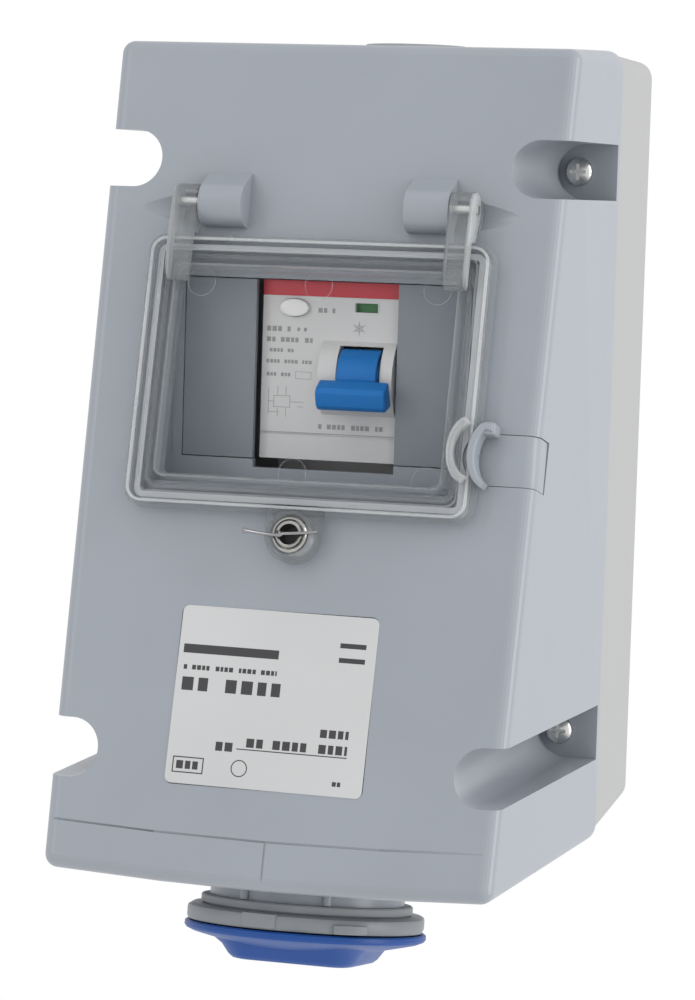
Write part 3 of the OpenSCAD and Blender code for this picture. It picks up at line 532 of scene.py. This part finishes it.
def stud():
    bm = bmesh.new()
    add_lathe(bm, [(4.3, 0.05), (4.4, 0.5), (4.1, 0.9), (3.15, 0.95), (3.1, 5.6), (3.35, 6.0),
                   (3.3, 6.5), (2.95, 6.7), (2.6, 6.5), (2.5, 6.0), (2.5, 1.2), (0, 1.2), (0, 0.05)],
              64, 0, STUD_V)
    piece = finish_piece("seal_stud_turned", bm, FACE, "nickel", "enclosure", ["seal_stud"], 30)
    slot = prism(box_outline(-6, 6, STUD_V - 0.75, STUD_V + 0.75), 5.3, 9)
    cut_with(piece, [(slot, FACE)])
    bm = bmesh.new()
    add_lathe(bm, [(3.7, 5.7), (4.0, 5.45), (4.4, 5.6), (4.5, 6.0), (4.2, 6.3), (3.8, 6.15)],
              64, 0, STUD_V)
    finish_piece("lid_tab_ring", bm, FACE, "nickel", "window", (), 30)
    # A black disc in the stud's bore: painted shade for its dark hollow.
    bm = prism(oval_outline(2.45, 2.45, 0, STUD_V), 1.25, 1.6)
    finish_piece("seal_stud_shade_disc", bm, FACE, "black", "enclosure")


def clip():
    path = []
    for k in range(25):
        t = k / 24
        x = -11.2 + 18.4 * t
        v = STUD_V + 0.35 - 0.9 * math.sin(t * math.pi * 0.9) + 1.0 * t * (t > 0.5)
        w = 6.2 + 0.9 * math.sin(t * math.pi)
        path.append((x, v, w))
    bm = bmesh.new()
    add_tube(bm, path, 0.42)
    add_lathe(bm, [(0, -0.6), (0.55, -0.4), (0.75, 0.0), (0.55, 0.4), (0, 0.6)], 16,
              -11.3, STUD_V + 0.3, closed=False)
    for vert in bm.verts:
        if abs(vert.co.z) < 0.7:
            vert.co.z += 6.2
    finish_piece("seal_clip_wire", bm, FACE, "dark_steel", "window", ["seal_clip"], 50)


# ---------------------------------------------------------------- catch


def catch_claw():
    """The crescent claw of the side catch, with its short root on the face."""
    outer, inner = [], []
    for k in range(19):
        a = math.radians(118 + k * 7.4)
        outer.append((48.6 + 5.9 * math.cos(a), 1.6 + 8.6 * math.sin(a)))
        inner.append((48.9 + 4.3 * math.cos(a) * 0.98, 1.4 + 7.0 * math.sin(a)))
    top = [(48.7, 9.0), (48.7, 7.2)]
    points = list(reversed(outer)) + top + inner
    bm = prism(points, 1.2, 6.6, 0.5)
    finish_piece("catch_claw", bm, FACE, "cover_grey", "catch", ["lid_catch"])
    bm = prism(rounded_outline(3.4, 3.0, 0.7, 47.4, 8.1), -1.4, 5.8, 0.5)
    finish_piece("catch_root", bm, FACE, "cover_grey", "catch")


def catch_tongue():
    """The flush pad that wraps round the cover's edge."""
    low, high = CATCH_V - CATCH_H / 2 - 0.2, CATCH_V + CATCH_H / 2 + 0.2
    profile = [(46.4, -0.02), (55.6, -0.02)]
    for k in range(1, 8):
        a = math.radians(90 - k * 90 / 8)
        profile.append((55.5 + 3.3 * math.cos(a), -3.35 + 3.3 * math.sin(a)))
    profile += [(58.85, -3.6), (58.9, -8.9), (56.4, -8.9), (56.2, -4.2), (54.4, -2.2), (46.4, -2.0)]
    bm = bmesh.new()
    first = [bm.verts.new((x, low, w)) for x, w in profile]
    face = bm.faces.new(first)
    made = bmesh.ops.extrude_face_region(bm, geom=[face])["geom"]
    far = [g for g in made if isinstance(g, bmesh.types.BMVert)]
    bmesh.ops.translate(bm, verts=far, vec=(0, high - low, 0))
    for ring in (first, far):
        ring_set = set(ring)
        edges = [e for e in bm.edges if e.verts[0] in ring_set and e.verts[1] in ring_set]
        bmesh.ops.bevel(bm, geom=edges, offset=0.25, segments=2, profile=0.5, affect="EDGES")
    finish_piece("catch_tongue", bm, FACE, "cover_grey", "catch")


def cover_screws():
    """Four screws with domed heads and a cross recess, at the bottom of their notches."""
    spots = [(x, z) for x in (-SCREW_X, SCREW_X) for z in (SCREW_LOW_Z, SCREW_TOP_Z)]
    r = SCREW_HEAD_R
    dome = [(r * math.cos(math.radians(a)), 1.2 + 1.7 * math.sin(math.radians(a)))
            for a in range(0, 90, 10)]
    bm = bmesh.new()
    for x, z in spots:
        profile = [(0, -24), (1.3, -24), (1.3, 0), (r, 0)] + dome + [(0, 2.9)]
        add_lathe(bm, profile, 48, x, z, closed=False)
    head = turned((0, -SCREW_SEAT, 0), 90)
    piece = finish_piece("cover_screw_heads", bm, head, "steel", "enclosure", ["cover_screws"], 30)
    slots = []
    for x, z in spots:
        for w, h in ((4.2, 0.9), (0.9, 4.2)):
            outline = box_outline(x - w / 2, x + w / 2, z - h / 2, z + h / 2)
            slots.append((prism(outline, 1.6, 6), head))
    cut_with(piece, slots)


# ---------------------------------------------------------------- device details


def toggle():
    """The lever: its drum, curved shield, stem and wide bar, drawn as it stands at rest."""
    pivot = turned((0, -(NOSE_D - 1), RCD_Z - 1.4), 90)
    x_mid = 8.9
    bm = bmesh.new()
    drum = [(5.15 * math.cos(math.radians(a)), 5.15 * math.sin(math.radians(a)))
            for a in range(0, 360, 10)]
    add_side_prism(bm, drum, x_mid - 5.2, x_mid + 5.2, 0.3)
    finish_piece("toggle_drum", bm, pivot, "blue", "lever", ["toggle"])
    lean = math.radians(24)
    bar = [(-3.2, 7.9), (3.0, 7.9), (3.3, 8.4), (2.9, 11.9), (2.0, 13.1), (-1.6, 13.4),
           (-3.0, 12.5), (-3.6, 8.6)]
    shield = [(7.5 * math.cos(math.radians(a)), 7.5 * math.sin(math.radians(a)))
              for a in range(-8, 77, 6)]
    shield += [(6.6 * math.cos(math.radians(a)), 6.6 * math.sin(math.radians(a)))
               for a in range(76, -9, -6)]
    stem = [(-2.0, 1.0), (2.6, 1.0), (2.9, 4.5), (2.7, 9.0), (-2.4, 9.0), (-2.2, 4.5)]
    parts = (("bar", bar, 9.0, 0.7), ("stem", stem, 5.0, 0.4), ("shield", shield, 5.1, 0.2))
    for name, outline, half, bevel in parts:
        bm = bmesh.new()
        turned_outline = [(u * math.cos(lean) - o * math.sin(lean),
                           u * math.sin(lean) + o * math.cos(lean)) for u, o in outline]
        add_side_prism(bm, turned_outline, x_mid - half, x_mid + half, bevel)
        if name == "bar":
            long_edges = [e for e in bm.edges
                          if abs(abs(e.verts[0].co.x - e.verts[1].co.x) - (2 * half - 2 * bevel)) < 0.3]
            bmesh.ops.bevel(bm, geom=long_edges, offset=0.45, segments=3, profile=0.5,
                            affect="EDGES", clamp_overlap=True)
        finish_piece(f"toggle_{name}", bm, pivot, "blue", "lever")


def test_button():
    bm = bmesh.new()
    add_lathe(bm, [(0, 1.55), (0.5, 1.53), (0.8, 1.42), (0.95, 1.2), (1, 0.9), (1, -3.4),
                   (0.3, -3.4), (0.3, -7.4), (0, -7.4)], 48, closed=False)
    for vert in bm.verts:
        vert.co.x *= 3.85
        vert.co.y *= 2.25
        vert.co.x += BUTTON_X
        vert.co.y += BUTTON_Y
    finish_piece("test_button_cap", bm, NOSE, "button", "button", ["test_button"])


def flag_upper_half():
    """The red half of the flag, which the lever lowers into its opening."""
    bm = prism(box_outline(FLAG_X - 3.75, FLAG_X + 3.75, FLAG_Y + 1.3, FLAG_Y + 4.2), -1.85, -1.76)
    finish_piece("status_flag_red", bm, NOSE, "red_band", "flag")


def dashes(x0, x1, y, height, seed=1, gap=0.34):
    """A row of small blocks that stands for a printed line, with no letters in it."""
    rows = []
    x, count = x0, seed
    while x < x1 - 0.2:
        width = height * (0.55 + 0.35 * abs(math.sin(count * 2.3)))
        if count % 5 != 4:
            rows.append((x, min(x + width, x1), y - height / 2, y + height / 2))
        x += width + gap * (height / 1.3)
        count += 1
    return rows


def print_rects(name, rects, place, material, slot, lift, body="enclosure"):
    bm = bmesh.new()
    for x0, x1, y0, y1 in rects:
        add_prism(bm, box_outline(x0, x1, y0, y1), lift - 0.01, lift + 0.012)
    return finish_piece(name, bm, place, slot, body, (), 35, material)


def outline_rects(x0, x1, y0, y1, t):
    return [(x0, x1, y0, y0 + t), (x0, x1, y1 - t, y1), (x0, x0 + t, y0 + t, y1 - t),
            (x1 - t, x1, y0 + t, y1 - t)]


def device_print():
    dark = dashes(-16.6, -10.4, 10.2, 1.3, 1) + dashes(-16.6, -4.0, 7.5, 1.2, 2)
    print_rects("device_print_dark", dark, NOSE, PALE_INK, "rcd_front", 0.01)
    pale = dashes(-8.6, -6.0, 10.2, 0.9, 3) + dashes(-16.6, -9.2, 4.8, 0.9, 4)
    pale += dashes(-16.6, -4.6, 2.0, 0.9, 5) + dashes(-16.4, -10.0, -1.3, 0.9, 6)
    pale += dashes(-3.2, 1.2, 15.2, 1.2, 2) + dashes(-2.4, 14.6, -14.0, 1.2, 3)
    pale += outline_rects(-8.8, -4.6, -2.3, -0.4, 0.12)
    for x in (-13.4, -11.2):
        pale += [(x, x + 0.14, -6.4, -4.2), (x, x + 0.14, -12.0, -9.8)]
    pale += outline_rects(-14.4, -10.0, -9.6, -6.6, 0.14)
    pale += [(-10.0, -6.4, -8.2, -8.06), (-15.8, -15.66, -11.4, -5.0), (-15.8, -14.4, -8.2, -8.06)]
    pale += [(-15.8, -12.8, -10.9, -10.76), (-8.0, -6.4, -9.4, -9.26)]
    pale.append((-17.4, 17.4, -15.9, -15.72))
    print_rects("device_print_pale", pale, NOSE, PALE_INK, "rcd_front", 0.01)
    bm = bmesh.new()
    for k in range(3):
        a = math.radians(30 + 60 * k)
        ux, uy = math.cos(a), math.sin(a)
        points = [(7.6 + s * 1.7 * ux - q * 0.1 * uy, 11.0 + s * 1.7 * uy + q * 0.1 * ux)
                  for s, q in ((-1, -1), (1, -1), (1, 1), (-1, 1))]
        add_prism(bm, points, 0.0, 0.02 + 0.004 * k)
    add_frame(bm, oval_outline(0.9, 0.9, 7.6, 11.0, 24), oval_outline(0.75, 0.75, 7.6, 11.0, 24),
              0.0, 0.035)
    finish_piece("device_print_mark", bm, NOSE, "rcd_front", "enclosure", (), 35, PALE_INK)


def device_edges():
    """Soft-edged bezels round the flag's opening and the test button, and the red band."""
    bm = bmesh.new()
    add_frame(bm, rounded_outline(6.6, 2.9, 0.4, FLAG_X, FLAG_Y),
              rounded_outline(5.9, 2.3, 0.2, FLAG_X, FLAG_Y),
              -0.6, 0.12, 0.05)
    finish_piece("flag_bezel", bm, NOSE, "rcd_front")
    bm = bmesh.new()
    add_frame(bm, oval_outline(4.35, 2.75, BUTTON_X, BUTTON_Y, 48),
              oval_outline(3.95, 2.35, BUTTON_X, BUTTON_Y, 48), -1.2, 0.14, 0.06)
    finish_piece("button_bezel", bm, NOSE, "rcd_front")
    bm = bmesh.new()
    high = NOSE_H / 2
    add_prism(bm, box_outline(-NOSE_W / 2, NOSE_W / 2, high - 3.85, high), -0.2, 0.06, 0.03)
    finish_piece("red_band_print", bm, NOSE, "red_band", "enclosure", ["rcd_band"])


# ---------------------------------------------------------------- label


def label():
    place = FACE @ Matrix.Translation((LABEL_X, LABEL_V, 0)) @ Matrix.Rotation(math.radians(-0.5), 4, "Z")
    bm = prism(rounded_outline(LABEL_W + 0.5, LABEL_H + 0.5, 1.7), -0.1, 0.16, 0.06)
    finish_piece("rating_plate_foil", bm, place, "label", "enclosure", ["rating_plate"])
    bold = dashes(-23.5, 4.0, 2.6, 3.3, 2, 0.5)
    print_rects("label_print_bold", bold, place, INK, "label", 0.17)
    lines = dashes(-23.5, 0.6, 6.7, 1.15, 3) + dashes(11.5, 20.5, -7.0, 2.0, 4)
    lines += dashes(-13.0, -8.0, -12.2, 2.2, 1) + dashes(-5.2, 20.5, -10.8, 2.2, 2)
    lines += [(-7.6, 20.6, -12.6, -12.35), (-24.0, 0.6, 10.2, 12.4), (16.0, 22.6, 14.2, 15.4)]
    lines += [(16.0, 22.6, 10.6, 11.8)]
    lines += outline_rects(-23.6, -15.6, -19.4, -15.4, 0.28) + dashes(-22.6, -16.6, -17.4, 2.0, 6)
    lines += dashes(17.6, 20.6, -19.0, 1.1, 2)
    print_rects("label_print", lines, place, INK, "label", 0.17)
    bm = bmesh.new()
    add_frame(bm, oval_outline(2.1, 2.1, -6.4, -17.2), oval_outline(1.85, 1.85, -6.4, -17.2), 0.16, 0.182)
    finish_piece("label_ring", bm, place, "label", "enclosure", (), 35, INK)


# ---------------------------------------------------------------- socket


def socket_flange():
    """The socket's ringed collar, scalloped round its edge, with a latch lug at the front."""
    ring = bmesh.new()
    steps = 144
    profile = [(23.4, 12.5), (29.2, 12.5), (30.1, 13.0), (30.3, 13.6), (30.3, 15.8), (29.9, 16.5),
               (23.4, 16.6)]
    rows = []
    for r, z in profile:
        row = []
        for k in range(steps):
            a = 2 * math.pi * k / steps
            dent = 0.55 * max(0.0, math.cos(4 * a + 0.9)) ** 6 if r > 25 else 0.0
            row.append(ring.verts.new(((r - dent) * math.cos(a), (r - dent) * math.sin(a), z)))
        rows.append(row)
    for a, b in zip(rows, rows[1:] + rows[:1]):
        for k in range(steps):
            n = (k + 1) % steps
            ring.faces.new([a[k], a[n], b[n], b[k]])
    finish_piece("socket_flange_ring", ring, SOCKET, "socket_grey", "enclosure", (), 30)
    bm = bmesh.new()
    add_lathe(bm, [(24.0, 10.1), (26.5, 10.15), (26.8, 10.5), (26.8, 12.0), (26.4, 12.45), (24.0, 12.5)])
    finish_piece("socket_seal_ring", bm, SOCKET, "gasket_grey", "enclosure", ["socket_gasket"], 30)
    bm = bmesh.new()
    add_lathe(bm, [(21.95, -14), (23.35, -14), (23.35, 16.3), (22.9, 16.6), (22.3, 16.6), (21.95, 16.2)])
    finish_piece("socket_tube", bm, SOCKET, "socket_grey", "enclosure", ["socket_body"], 30)
    bm = bmesh.new()
    for turn, reach, low, high in ((52, 31.4, 14.2, 16.4), (96, 30.9, 12.7, 16.2)):
        a = math.radians(turn)
        across, along = Vector((-math.sin(a), math.cos(a), 0)), Vector((math.cos(a), math.sin(a), 0))
        corners = [along * d + across * s for d, s in ((27, -5), (reach - 0.6, -4.4), (reach, -3),
                                                      (reach, 3), (reach - 0.6, 4.4), (27, 5))]
        add_prism(bm, [(c.x, c.y) for c in corners], low, high, 0.4)
    finish_piece("socket_flange_lugs", bm, SOCKET, "socket_grey", "enclosure", (), 35)
    bm = bmesh.new()
    for x0, x1 in ((-9, -5), (5, 9)):
        eye = [(CAP_PIN_Y + 2.6 * math.cos(math.radians(a)), CAP_PIN_Z + 2.6 * math.sin(math.radians(a)))
               for a in range(250, 60, -15)]
        ear = [(-25.0, 12.6)] + eye + [(-25.0, 16.5)]
        add_side_prism(bm, ear, x0, x1, 0.4)
    finish_piece("socket_hinge_ears", bm, SOCKET, "socket_grey", "enclosure", (), 30)


def socket_spigot_details():
    """Small ribs on the spigot under the cover."""
    bm = bmesh.new()
    for a in (62, 112):
        x, y = 24.9 * math.cos(math.radians(a)), 24.9 * math.sin(math.radians(a))
        add_lathe(bm, [(0, 6.5), (1.1, 6.5), (1.1, 9.9), (0, 9.9)], 20, x, y, closed=False)
    finish_piece("spigot_ribs", bm, SOCKET, "cover_grey")


def socket_cap():
    """The blue cap: a rim, a shallow cone and a raised grip pad."""
    base = 16.9
    bm = bmesh.new()
    add_lathe(bm, [(24.6, base + 1.4), (24.6, base), (30.1, base), (30.55, base + 0.35),
                   (30.6, base + 1.3), (30.2, base + 1.9), (28.6, base + 2.6), (19.0, base + 4.9),
                   (10.0, base + 5.5), (0, base + 5.5), (0, base + 1.5)])
    finish_piece("socket_cap_shell", bm, SOCKET, "lid_blue", "cap", ["socket_lid"], 28)
    bm = bmesh.new()
    rows = []
    for half_w, half_h, r, z in ((20.0, 18.8, 7.5, base + 3.6), (18.2, 17.2, 7.0, base + 5.2),
                                 (16.6, 15.4, 5.8, base + 7.6), (15.6, 14.4, 5.2, base + 8.5),
                                 (14.4, 13.2, 4.2, base + 8.75)):
        rows.append([bm.verts.new((x, y, z)) for x, y in rounded_outline(2 * half_w, 2 * half_h, r)])
    count = len(rows[0])
    for a, b in zip(rows, rows[1:]):
        for k in range(count):
            n = (k + 1) % count
            bm.faces.new([a[k], a[n], b[n], b[k]])
    bm.faces.new(rows[-1])
    bm.faces.new(list(reversed(rows[0])))
    finish_piece("socket_cap_pad", bm, SOCKET, "lid_blue", "cap", (), 40)
    bm = bmesh.new()
    knuckle = [(CAP_PIN_Y + 2.5 * math.cos(math.radians(a)), CAP_PIN_Z + 2.5 * math.sin(math.radians(a)))
               for a in range(60, 271, 15)] + [(-27.0, base + 0.3), (-27.0, base + 3.1)]
    add_side_prism(bm, knuckle, -4.6, 4.6, 0.4)
    finish_piece("socket_cap_knuckle", bm, SOCKET, "lid_blue", "cap")


# ---------------------------------------------------------------- stage


def aim(obj, place, target):
    obj.location = place
    obj.rotation_euler = (Vector(target) - Vector(place)).to_track_quat("-Z", "Y").to_euler()


def soft_light(name, place, target, size, power, color=(1, 1, 1)):
    lamp = bpy.data.lights.new(name, "AREA")
    lamp.shape = "RECTANGLE"
    lamp.size, lamp.size_y = size
    lamp.energy = power
    lamp.color = color
    obj = bpy.data.objects.new(name, lamp)
    bpy.context.scene.collection.objects.link(obj)
    aim(obj, place, target)


def stage():
    bm = bmesh.new()
    bmesh.ops.create_circle(bm, cap_ends=True, segments=96, radius=3.0)
    mesh = bpy.data.meshes.new("floor")
    bm.to_mesh(mesh)
    bm.free()
    floor = bpy.data.objects.new("floor", mesh)
    floor.location = (0, 0, -1.2)
    mesh.materials.append(plastic("floor_white", (0.93, 0.93, 0.93), 0.8, 200.0, 0.02, 0.005, 0.1))
    bpy.context.scene.collection.objects.link(floor)
    world = bpy.data.worlds.new("studio")
    world.use_nodes = True
    world.node_tree.nodes["Background"].inputs["Color"].default_value = (1, 1, 1, 1)
    world.node_tree.nodes["Background"].inputs["Strength"].default_value = 1.0
    bpy.context.scene.world = world
    centre = (0, -0.06, 0)
    soft_light("right_soft", (1.45, -0.2, 0.3), centre, (0.6, 1.6), 12, (1, 0.985, 0.97))
    soft_light("left_soft", (-0.85, -1.1, 0.6), (-0.05, -0.1, 0), (0.2, 1.4), 3.0)
    soft_light("top_soft", (0.1, -0.5, 1.4), centre, (1.2, 0.9), 1.2)


def camera():
    """The viewpoint: where it stands, its right, up and back directions, and its lens."""
    lens = bpy.data.cameras.new("camera")
    lens.sensor_fit = "VERTICAL"
    lens.sensor_height = 36.0
    lens.lens = 128.76
    lens.clip_start, lens.clip_end = 0.05, 50.0
    eye = bpy.data.objects.new("camera", lens)
    bpy.context.scene.collection.objects.link(eye)
    right = Vector((0.95719, 0.28783, 0.03059))
    up = Vector((-0.05392, 0.07347, 0.99584))
    back = Vector((0.28438, -0.95486, 0.08585))
    turn = Matrix((right, up, back)).transposed().to_4x4()
    eye.matrix_world = Matrix.Translation((0.26171, -0.95292, 0.06507)) @ turn
    bpy.context.scene.camera = eye
    bpy.context.scene.view_settings.view_transform = "Standard"


camera()
stage()
finish_cad_nodes()
lid_body()
lid_plate()
lid_ridges()
lid_arms()
lid_tab()
lid_ear()
lid_gate_marks()
lid_highlight_beads()
stud()
clip()
catch_claw()
catch_tongue()
cover_screws()
toggle()
test_button()
flag_upper_half()
device_print()
device_edges()
label()
socket_flange()
socket_spigot_details()
socket_cap()
